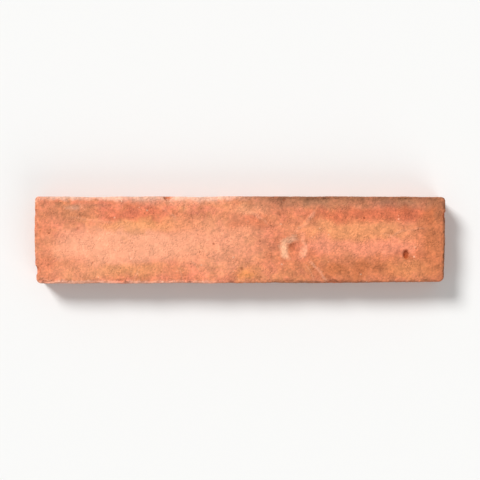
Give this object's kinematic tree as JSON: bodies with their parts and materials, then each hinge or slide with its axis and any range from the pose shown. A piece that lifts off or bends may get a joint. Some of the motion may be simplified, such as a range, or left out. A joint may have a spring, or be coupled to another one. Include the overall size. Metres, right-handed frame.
{
  "type": "brick slip",
  "caption": "Long thin hand-moulded clay brick slip with a gently domed, weathered face and a flat sawn back, for sticking to a wall as brick cladding.",
  "frame": {"origin": "middle of the sawn back, on the surface that the slip lies on", "axes": "+X along the slip's length, the way the course runs; +Y up the course, across the slip's face; +Z out of the wall, from the sawn back to the moulded face"},
  "size_m": [0.24, 0.0511, 0.02],
  "materials": {
    "fired_clay": "matte"
  },
  "bodies": {
    "root": {"brick_slip": "fired_clay"}
  },
  "joints": []
}
